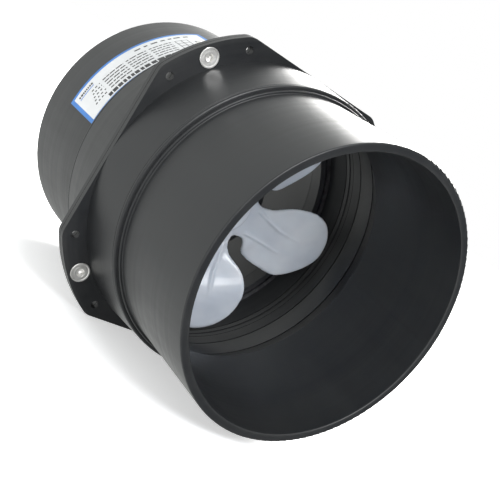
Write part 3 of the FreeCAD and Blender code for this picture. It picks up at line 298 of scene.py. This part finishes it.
def make_materials():
    bare_metal = {"metallic": 1.0}
    return {
        "casing": casing_plastic("casing_plastic", (0.011, 0.012, 0.014), (0.020, 0.021, 0.022), 0.33, 0.49),
        "bracket": casing_plastic("bracket_plastic", (0.010, 0.011, 0.013), (0.020, 0.021, 0.024), 0.36,
                                  0.55),
        "cap": finish("cap_plastic", (0.03, 0.03, 0.032), (0.045, 0.045, 0.047), 0.45, 0.6, 900.0, 0.15),
        "rubber": finish("black_rubber", (0.012, 0.012, 0.013), (0.022, 0.022, 0.023), 0.7, 0.85, 1500.0,
                         0.3),
        "stainless": finish("stainless_steel", (0.80, 0.79, 0.77), (0.94, 0.93, 0.91), 0.27, 0.40, 2600.0,
                            0.18, metallic=0.85),
        "spring": finish("spring_steel", (0.10, 0.10, 0.11), (0.17, 0.17, 0.18), 0.3, 0.45, 1800.0, 0.15,
                         **bare_metal),
        "zinc": finish("zinc_steel", (0.50, 0.51, 0.52), (0.64, 0.65, 0.67), 0.28, 0.45, 1200.0, 0.12,
                       **bare_metal),
        "black_can": finish("black_can", (0.016, 0.017, 0.018), (0.028, 0.029, 0.031), 0.34, 0.48, 1500.0,
                            0.14),
        "shaft": finish("shaft_steel", (0.66, 0.66, 0.67), (0.76, 0.76, 0.77), 0.15, 0.28, 4000.0, 0.08,
                        (1.0, 0.05, 1.0), **bare_metal),
        "core": finish("core_steel", (0.24, 0.25, 0.27), (0.38, 0.39, 0.41), 0.35, 0.55, 3000.0, 0.5,
                       (0.02, 1.0, 0.02), **bare_metal),
        "bronze": finish("bronze", (0.46, 0.30, 0.15), (0.60, 0.42, 0.22), 0.4, 0.55, 2600.0, 0.3,
                         **bare_metal),
        "brass": finish("terminal_brass", (0.72, 0.53, 0.24), (0.84, 0.66, 0.33), 0.22, 0.38, 1600.0, 0.1,
                        **bare_metal),
        "copper_wire": finish("copper_wire", (0.48, 0.16, 0.06), (0.68, 0.28, 0.11), 0.22, 0.4, 1700.0, 0.8,
                              (0.05, 0.05, 1.0), metallic=0.9, depth=0.3 * MM),
        "copper_bar": finish("copper_bar", (0.66, 0.34, 0.20), (0.80, 0.46, 0.28), 0.2, 0.35, 3000.0, 0.2,
                             (0.02, 1.0, 0.02), **bare_metal),
        "ferrite": finish("ferrite", (0.05, 0.05, 0.055), (0.085, 0.085, 0.09), 0.45, 0.6, 1500.0, 0.3),
        "carbon": finish("carbon", (0.02, 0.02, 0.021), (0.05, 0.05, 0.052), 0.4, 0.6, 1800.0, 0.3),
        "lead": finish("lead_insulation", (0.014, 0.014, 0.015), (0.026, 0.026, 0.027), 0.35, 0.5, 700.0,
                       0.1),
        "nylon": nylon(),
        "fibre": finish("fibre_washer", (0.26, 0.17, 0.09), (0.40, 0.28, 0.16), 0.7, 0.85, 1800.0, 0.4),
    }


def nylon():
    """Milky nylon that lets some light a little way in."""
    recipe = Recipe("impeller_nylon")
    vector = recipe.place()
    cloud = recipe.noise(vector, 45.0, 3.0)
    fine = recipe.noise(vector, 700.0, 2.0)
    recipe.join(recipe.ramp(cloud, (0.47, 0.51, 0.58), (0.60, 0.63, 0.68)), "Base Color")
    recipe.join(recipe.spread(cloud, 0.16, 0.26), "Roughness")
    recipe.join(recipe.bump(fine, 0.05, 0.02 * MM), "Normal")
    values = {"Subsurface Weight": 0.6, "Subsurface Scale": 3.0 * MM, "Subsurface Radius": (0.8, 0.95, 1.0),
              "Specular IOR Level": 0.5}
    for slot, value in values.items():
        recipe.shader.inputs[slot].default_value = value
    return recipe.material


# ---------------------------------------------------------------------------
# Mesh helpers
# ---------------------------------------------------------------------------

WELD_DISTANCE = 1e-7
TURNED_SEGMENTS = 72


def at(radius, degrees, height=0.0):
    """A point at that radius and angle about the fan axis."""
    radians = math.radians(degrees)
    return Vector((radius * math.cos(radians), height, radius * math.sin(radians)))


def new_piece(name, vertices, faces, materials):
    mesh = bpy.data.meshes.new(name)
    mesh.from_pydata([tuple(vertex) for vertex in vertices], [], faces)
    for item in materials:
        mesh.materials.append(item)
    mesh.update()
    mesh.shade_smooth()
    piece = bpy.data.objects.new(name, mesh)
    scene.collection.objects.link(piece)
    return piece


def mend_normals(piece):
    """Weld doubled points and turn every face outwards."""
    work = bmesh.new()
    work.from_mesh(piece.data)
    bmesh.ops.remove_doubles(work, verts=work.verts, dist=WELD_DISTANCE)
    bmesh.ops.recalc_face_normals(work, faces=work.faces)
    work.to_mesh(piece.data)
    work.free()


def crease(piece, degrees):
    """Smooth shading that stays sharp across edges above an angle."""
    piece.data.set_sharp_from_angle(angle=math.radians(degrees))


def apply_modifiers(piece):
    graph = bpy.context.evaluated_depsgraph_get()
    made = bpy.data.meshes.new_from_object(piece.evaluated_get(graph))
    piece.modifiers.clear()
    piece.data = made


def rings_to_faces(ring_count, ring_size, offset=0):
    """Quads between rings of points that follow one another."""
    faces = []
    for ring in range(ring_count - 1):
        for index in range(ring_size):
            following = (index + 1) % ring_size
            low = offset + ring * ring_size
            high = low + ring_size
            faces.append((low + index, low + following, high + following, high + index))
    return faces


# ---------------------------------------------------------------------------
# Impeller
# ---------------------------------------------------------------------------

BLADE_COUNT = 5
BLADE_MIDDLE_ANGLE = -2.3
BLADE_MIDDLE_HEIGHT = 1.3
BLADE_RISE = 61.0 / 360.0
BLADE_THICKNESS = 1.8
BLADE_HEART = (28.0, -1.0)
EDGE_POINTS = 120
EDGE_STEPS = 12
HUB_SEGMENTS = 96
VOXEL = 0.42

# Ribs on the blades' front faces: their height, their width, the lengths over which
# they rise and die away, and the radius inside which the hub keeps them off
RIB_HEIGHT = 0.75
RIB_WIDTH = 0.55
RIB_RISE = 1.5
RIB_FADE = 12.0
HUB_REACH = 14.4

# The blade's edge seen along the axis, as radius and angle from the blade's middle
BLADE_EDGE = (
    (8.0, 34.0), (12.0, 33.0), (14.0, 29.2), (15.2, 24.8), (17.2, 22.3), (20.0, 22.5), (22.5, 25.3),
    (25.3, 27.8), (28.2, 28.2), (32.5, 27.0), (37.0, 24.2), (42.0, 19.2), (45.4, 13.9), (47.8, 8.0),
    (49.1, 0.8), (47.8, -5.9), (44.6, -13.8), (41.4, -20.2), (38.0, -23.6), (33.1, -27.0),
    (29.0, -30.6), (24.9, -33.2), (21.9, -32.6), (19.2, -29.0), (17.3, -28.0), (15.8, -30.2),
    (14.6, -34.6), (12.4, -38.6), (8.0, -38.0),
)

# The blade flattens and moves to the rear towards the hub: at each radius, the share
# of its full pitch and how far it sits behind the blade's middle height
BLADE_TWIST = (
    (9.0, 0.0, 4.2), (12.0, 0.02, 4.2), (15.0, 0.07, 4.1), (18.0, 0.17, 3.5), (21.0, 0.4, 2.4),
    (24.0, 0.7, 1.8), (27.0, 0.9, 1.1), (30.0, 1.0, 0.4), (33.0, 1.0, -0.2), (36.0, 1.0, -0.4),
    (52.0, 1.0, -0.4),
)

# Two ribs on each blade, each as radius and angle from the blade's middle
BLADE_RIBS = (
    ((14.6, 18.0), (16.3, 14.1), (20.3, 8.2), (25.1, 4.4), (30.6, 3.5), (35.7, 3.5)),
    ((14.8, -22.0), (15.7, -20.4), (19.6, -16.2), (24.1, -13.3), (29.4, -11.6), (33.9, -9.5)),
)


def blade_height(radius, degrees):
    """Height of the middle of the blade's thickness, in millimetres."""
    rows = BLADE_TWIST
    index = 0
    while index < len(rows) - 2 and rows[index + 1][0] < radius:
        index += 1
    (low, share_low, set_low), (high, share_high, set_high) = rows[index], rows[index + 1]
    t = max(0.0, min(1.0, (radius - low) / (high - low)))
    share = share_low + (share_high - share_low) * t
    setback = set_low + (set_high - set_low) * t
    return BLADE_MIDDLE_HEIGHT + setback - BLADE_RISE * share * degrees


def blade_edge_points(count):
    """Points evenly placed along a smooth closed curve through the edge points."""
    flat = [at(radius, degrees) for radius, degrees in BLADE_EDGE]
    size = len(flat)
    fine = []
    for index in range(size):
        before, start = flat[index - 1], flat[index]
        end, after = flat[(index + 1) % size], flat[(index + 2) % size]
        for step in range(EDGE_STEPS):
            t = step / EDGE_STEPS
            fine.append(0.5 * (2 * start + (end - before) * t
                               + (2 * before - 5 * start + 4 * end - after) * t * t
                               + (3 * start - before - 3 * end + after) * t ** 3))
    lengths = [0.0]
    for first, second in zip(fine, fine[1:] + fine[:1]):
        lengths.append(lengths[-1] + (second - first).length)
    points = []
    position = 0
    for index in range(count):
        wanted = lengths[-1] * index / count
        while lengths[position + 1] < wanted:
            position += 1
        share = (wanted - lengths[position]) / (lengths[position + 1] - lengths[position])
        points.append(fine[position].lerp(fine[(position + 1) % len(fine)], share))
    return points


def blade_mesh(turn):
    """One blade: rings that shrink from the edge to the middle, on both faces."""
    edge = blade_edge_points(EDGE_POINTS)
    middle = at(*BLADE_HEART)
    # each ring's size as a share of the edge, and how full the thickness is there
    shares = (1.0, 0.995, 0.982, 0.96, 0.93, 0.86, 0.74, 0.6, 0.45, 0.3, 0.15)
    inset = (0.0, 0.3, 0.58, 0.82, 0.96, 1.0, 1.0, 1.0, 1.0, 1.0, 1.0)
    vertices = []
    for side in (1.0, -1.0):
        for share, fullness in zip(shares, inset):
            for point in edge:
                flat = middle.lerp(point, share)
                radius = math.hypot(flat.x, flat.z)
                degrees = math.degrees(math.atan2(flat.z, flat.x))
                half = BLADE_THICKNESS / 2 * fullness
                height = blade_height(radius, degrees) + side * half
                vertices.append(at(radius, degrees + turn, height))
    rings = len(shares)
    faces = rings_to_faces(rings, len(edge))
    faces += rings_to_faces(rings, len(edge), rings * len(edge))
    for side in range(2):
        start = (side * rings + rings - 1) * len(edge)
        faces.append(tuple(range(start, start + len(edge))))
    return vertices, faces


def hub_mesh():
    """The hub as one closed profile turned about the axis."""
    profile = [
        (4.0, -0.2), (6.6, -0.2), (7.4, -0.1), (8.1, 0.2), (8.7, 0.8), (9.0, 1.6), (9.0, 4.1),
        (9.2, 4.6), (9.8, 4.88), (10.6, 4.95), (13.6, 4.95), (14.2, 5.2), (14.2, 6.1), (13.8, 6.5),
        (4.0, 6.5),
    ]
    vertices = []
    for radius, height in profile:
        for index in range(HUB_SEGMENTS):
            vertices.append(at(radius, 360.0 * index / HUB_SEGMENTS, height))
    faces = rings_to_faces(len(profile), HUB_SEGMENTS)
    last = (len(profile) - 1) * HUB_SEGMENTS
    for index in range(HUB_SEGMENTS):
        following = (index + 1) % HUB_SEGMENTS
        faces.append((last + index, last + following, following, index))
    return vertices, faces


def rib_lines():
    """The ribs of every blade as points seen along the axis."""
    lines = []
    for number in range(BLADE_COUNT):
        turn = BLADE_MIDDLE_ANGLE + 360.0 / BLADE_COUNT * number
        for rib in BLADE_RIBS:
            points = [at(radius, degrees + turn) for radius, degrees in rib]
            lines.append(np.array([(point.x, point.z) for point in points]))
    return lines


def rib_lift(flat):
    """How far the ribs lift the blade at each point, in millimetres."""
    lift = np.zeros(len(flat))
    for points in rib_lines():
        steps = np.linalg.norm(np.diff(points, axis=0), axis=1)
        total = steps.sum()
        nearest = np.full(len(flat), 1e9)
        travelled = np.zeros(len(flat))
        done = 0.0
        for start, end, step in zip(points, points[1:], steps):
            along = (end - start) / step
            travel = np.clip((flat - start) @ along, 0.0, step)
            gap = np.linalg.norm(flat - start - travel[:, None] * along, axis=1)
            closer = gap < nearest
            nearest = np.where(closer, gap, nearest)
            travelled = np.where(closer, done + travel, travelled)
            done += step
        fade = np.clip(travelled / RIB_RISE, 0.0, 1.0) * np.clip((total - travelled) / RIB_FADE, 0.0, 1.0)
        lift += RIB_HEIGHT * fade * np.exp(-(nearest / RIB_WIDTH) ** 2)
    return lift


def raise_ribs(mesh):
    """Lift the front face of the blades along the ribs."""
    count = len(mesh.vertices)
    places = np.empty(count * 3)
    normals = np.empty(count * 3)
    mesh.vertices.foreach_get("co", places)
    mesh.vertex_normals.foreach_get("vector", normals)
    places = places.reshape(-1, 3)
    front = (normals.reshape(-1, 3)[:, 1] < -0.5) & (np.hypot(places[:, 0], places[:, 2]) > HUB_REACH)
    places[front, 1] -= rib_lift(places[front][:, ::2])
    mesh.vertices.foreach_set("co", places.ravel())
    mesh.update()


def make_impeller(material):
    vertices, faces = hub_mesh()
    for number in range(BLADE_COUNT):
        more, quads = blade_mesh(BLADE_MIDDLE_ANGLE + 360.0 / BLADE_COUNT * number)
        offset = len(vertices)
        vertices += more
        faces += [tuple(index + offset for index in face) for face in quads]
    piece = new_piece("impeller_moulding", vertices, faces, [])
    mend_normals(piece)
    remesh = piece.modifiers.new("remesh", "REMESH")
    remesh.mode = "VOXEL"
    remesh.voxel_size = VOXEL
    soften = piece.modifiers.new("soften", "SMOOTH")
    soften.factor = 0.5
    soften.iterations = 6
    apply_modifiers(piece)
    raise_ribs(piece.data)
    piece.data.transform(Matrix.Scale(MM, 4))
    piece.data.materials.append(material)
    piece.data.shade_smooth()
    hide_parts("impeller")
    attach(piece, "rotor")


def make_cap_nut(material):
    """The nylon cap nut: a chamfered hexagon with a domed front."""
    # from the bore at the back, over the hexagon, to the middle of the dome
    rows = [
        (1.7, -1.0, 0.0), (2.4, -1.0, 0.0), (2.75, -1.2, 0.5), (2.75, -1.5, 1.0), (2.75, -2.6, 1.0),
        (2.72, -2.9, 0.6), (2.55, -3.15, 0.0), (2.3, -3.5, 0.0), (1.8, -3.8, 0.0), (1.0, -3.96, 0.0),
        (0.2, -4.0, 0.0),
    ]
    vertices, faces = lathe_rows(rows, Vector(), 0.0)
    piece = new_piece("impeller_cap_nut", [vertex * MM for vertex in vertices], faces, [material])
    mend_normals(piece)
    crease(piece, 40.0)
    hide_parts("impeller_nut")
    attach(piece, "rotor")


# ---------------------------------------------------------------------------
# Flange fasteners
# ---------------------------------------------------------------------------

SCREW_CIRCLE = 58.6
SCREW_ANGLES = (45.0, 135.0, 225.0, 315.0)
SOCKET_TURN = 12.0
NUT_HALF_WIDTH = 3.5


def hexagon(flat_radius, degrees):
    """Distance to the side of a hexagon at that angle."""
    return flat_radius / math.cos(math.radians((degrees % 60.0) - 30.0))


def lathe_rows(rows, centre, turn):
    """Rings about a line along Y. A row is radius, height and how hexagonal it is."""
    vertices = []
    for radius, height, six in rows:
        for index in range(TURNED_SEGMENTS):
            degrees = 360.0 * index / TURNED_SEGMENTS
            reach = radius * (1 - six) + hexagon(radius, degrees) * six
            vertices.append(centre + at(reach, degrees + turn, height))
    faces = rings_to_faces(len(rows), TURNED_SEGMENTS)
    faces.append(tuple(range(TURNED_SEGMENTS)))
    last = (len(rows) - 1) * TURNED_SEGMENTS
    faces.append(tuple(range(last, last + TURNED_SEGMENTS)))
    return vertices, faces


def turned_set(name, rows, material, turn):
    """The same turned part at each of the four flange corners."""
    vertices, faces = [], []
    for corner in SCREW_ANGLES:
        more, quads = lathe_rows(rows, at(SCREW_CIRCLE, corner), corner + turn)
        offset = len(vertices)
        vertices += more
        faces += [tuple(index + offset for index in face) for face in quads]
    piece = new_piece(name, [vertex * MM for vertex in vertices], faces, [material])
    mend_normals(piece)
    crease(piece, 28.0)
    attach(piece, "housing")
    return piece


def make_fasteners(material):
    # from the bottom of the socket, over the head, along the shank to its end
    screw_rows = [
        (0.25, -0.45, 1.0), (1.15, -0.7, 1.0), (1.22, -0.75, 1.0), (1.25, -1.75, 1.0), (1.36, -1.95, 0.6),
        (1.75, -1.98, 0.0), (1.85, -2.02, 0.0), (2.0, -2.02, 0.0), (2.08, -1.94, 0.0), (2.85, -1.92, 0.0),
        (2.95, -2.0, 0.0), (3.05, -2.16, 0.0), (3.3, -2.18, 0.0), (3.44, -2.12, 0.0), (3.5, -2.02, 0.0),
        (3.5, -1.86, 0.0), (3.44, -1.8, 0.0), (2.05, -0.5, 0.0), (2.0, -0.4, 0.0), (2.0, 6.3, 0.0),
        (1.75, 6.58, 0.0), (0.6, 6.6, 0.0),
    ]
    screws = turned_set("flange_screw_set", screw_rows, material, SOCKET_TURN)
    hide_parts("flange_screws")
    # from the front edge of the thread, round the outside, to the depth of the thread behind
    side = NUT_HALF_WIDTH
    nut_rows = [
        (2.02, 2.25, 0.0), (2.3, 2.02, 0.0), (3.2, 2.02, 0.0), (3.3, 2.05, 0.0), (side, 2.12, 0.4),
        (side, 2.35, 1.0), (side, 4.85, 1.0), (side, 5.1, 0.4), (3.25, 5.18, 0.0), (2.35, 5.2, 0.0),
        (2.02, 4.95, 0.0), (2.02, 3.6, 0.0),
    ]
    nuts = turned_set("flange_nut_set", nut_rows, material, 0.0)
    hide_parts("flange_nuts")


# ---------------------------------------------------------------------------
# Label
# ---------------------------------------------------------------------------

LABEL_RADIUS = 50.95
LABEL_FRONT = 25.6
LABEL_REAR = 49.2
LABEL_START = 113.5
LABEL_END = 179.0
LABEL_LENGTH = math.radians(LABEL_END - LABEL_START) * LABEL_RADIUS
LABEL_WIDTH = LABEL_REAR - LABEL_FRONT
BORDER_ALONG = 1.6
BORDER_ACROSS = 1.5
PAPER_LIFT = 0.02
INK_LIFT = 0.04
MARK_STEP = 1.2

# Small print: each column's start, its shift per row and its end, then its dashes'
# height, gap, shortest and longest length
PRINT_COLUMNS = (
    (6.0, 0.6, 12.5, 0.75, 0.8, 0.7, 1.0),
    (14.0, 0.0, 23.5, 0.75, 0.4, 1.0, 3.0),
    (24.6, 0.0, 33.0, 0.75, 0.4, 1.0, 3.0),
    (34.2, 0.0, 43.0, 0.7, 0.4, 0.6, 2.2),
)


def label_point(along, across, lift):
    """A place on the label: along from its left end, across from its front edge."""
    degrees = LABEL_END - math.degrees(along / LABEL_RADIUS)
    return at(LABEL_RADIUS + lift, degrees, LABEL_FRONT + across) * MM


# The print's material numbers
PAPER = 0
BORDER = 1
INK = 2


class Print:
    """Collects flat marks on the label, each with a material number."""

    def __init__(self):
        self.vertices = []
        self.faces = []
        self.inks = []

    def mark(self, along, across, length, width, ink, lift=INK_LIFT):
        """One strip, in steps short enough to follow the curve."""
        steps = max(1, int(length / MARK_STEP))
        start = len(self.vertices)
        for step in range(steps + 1):
            place = along + length * step / steps
            self.vertices.append(label_point(place, across, lift))
            self.vertices.append(label_point(place, across + width, lift))
        for step in range(steps):
            low = start + 2 * step
            self.faces.append((low, low + 2, low + 3, low + 1))
            self.inks.append(ink)

    def dashes(self, along, across, end, height, gap, shortest, longest, dice):
        """A row of short dashes of uneven length."""
        place = along
        while place < end:
            length = min(dice.uniform(shortest, longest), end - place)
            self.mark(place, across, length, height, INK)
            place += length + gap * dice.uniform(0.7, 1.3)


def print_label():
    dice = random.Random(7)
    sheet = Print()
    sheet.mark(BORDER_ALONG, BORDER_ACROSS, LABEL_LENGTH - 2 * BORDER_ALONG, LABEL_WIDTH - 2 * BORDER_ACROSS,
               PAPER, PAPER_LIFT)
    # title row of heavy blocks near the front edge
    sheet.dashes(11.5, 2.3, 50.0, 2.3, 0.55, 1.1, 2.6, dice)
    for row in range(5):
        for start, shift, end, height, gap, shortest, longest in PRINT_COLUMNS:
            sheet.dashes(start + shift * row, 6.2 + 2.15 * row, end, height, gap, shortest, longest, dice)
    # ruled table and two bars near the far end
    for line in range(4):
        sheet.mark(44.5, 6.2 + 3.0 * line, 5.0, 0.25, INK)
    for line in range(3):
        sheet.mark(44.5 + 2.4 * line, 6.2, 0.25, 9.2, INK)
    for bar in (51.6, 53.2):
        sheet.mark(bar, 5.2, 0.6, 8.0, INK)
    # small marks along the rear edge
    sheet.dashes(30.0, 18.6, 52.0, 1.0, 1.2, 1.2, 2.6, dice)
    # short blue rule and a cluster of dashes in the rear left corner
    sheet.mark(3.2, 17.6, 7.5, 0.5, BORDER)
    sheet.dashes(3.4, 18.8, 11.2, 1.3, 0.3, 0.4, 1.1, dice)
    return sheet


def make_label():
    paper = finish("label_paper", (0.56, 0.57, 0.58), (0.63, 0.64, 0.65), 0.4, 0.5, 300.0, 0.04)
    border = finish("label_blue", (0.015, 0.13, 0.42), (0.03, 0.18, 0.52), 0.3, 0.42, 300.0, 0.04)
    ink = finish("label_ink", (0.012, 0.012, 0.014), (0.03, 0.03, 0.034), 0.4, 0.5, 900.0, 0.04)
    sheet = print_label()
    piece = new_piece("rating_label_print", sheet.vertices, sheet.faces, [paper, border, ink])
    for face, number in zip(piece.data.polygons, sheet.inks):
        face.material_index = number
    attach(piece, "housing")
    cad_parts["rating_label"].data.materials.clear()
    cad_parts["rating_label"].data.materials.append(border)


# ---------------------------------------------------------------------------
# CAD nodes that keep their shapes
# ---------------------------------------------------------------------------

NODE_FINISH = {
    "front_casing": "casing",
    "rear_casing": "casing",
    "joint_seal": "rubber",
    "motor_bracket": "bracket",
    "bracket_retaining_ring": "spring",
    "motor_screws": "zinc",
    "motor_can": "black_can",
    "motor_end_cap": "cap",
    "front_bush": "bronze",
    "rear_bush": "bronze",
    "field_magnets": "ferrite",
    "magnet_clips": "spring",
    "brushes": "carbon",
    "brush_springs": "brass",
    "motor_terminals": "brass",
    "motor_leads": "lead",
    "cable_gland": "rubber",
    "rotor_shaft": "shaft",
    "armature_core": "core",
    "armature_windings": "copper_wire",
    "commutator": "copper_bar",
    "thrust_washers": "fibre",
    "impeller_insert": "brass",
    "impeller_washer": "nylon",
}


def dress_nodes(materials):
    for node, look in NODE_FINISH.items():
        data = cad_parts[node].data
        data.materials.clear()
        data.materials.append(materials[look])


add_camera()
add_studio()
looks = make_materials()
dress_nodes(looks)
make_impeller(looks["nylon"])
make_cap_nut(looks["nylon"])
make_fasteners(looks["stainless"])
make_label()
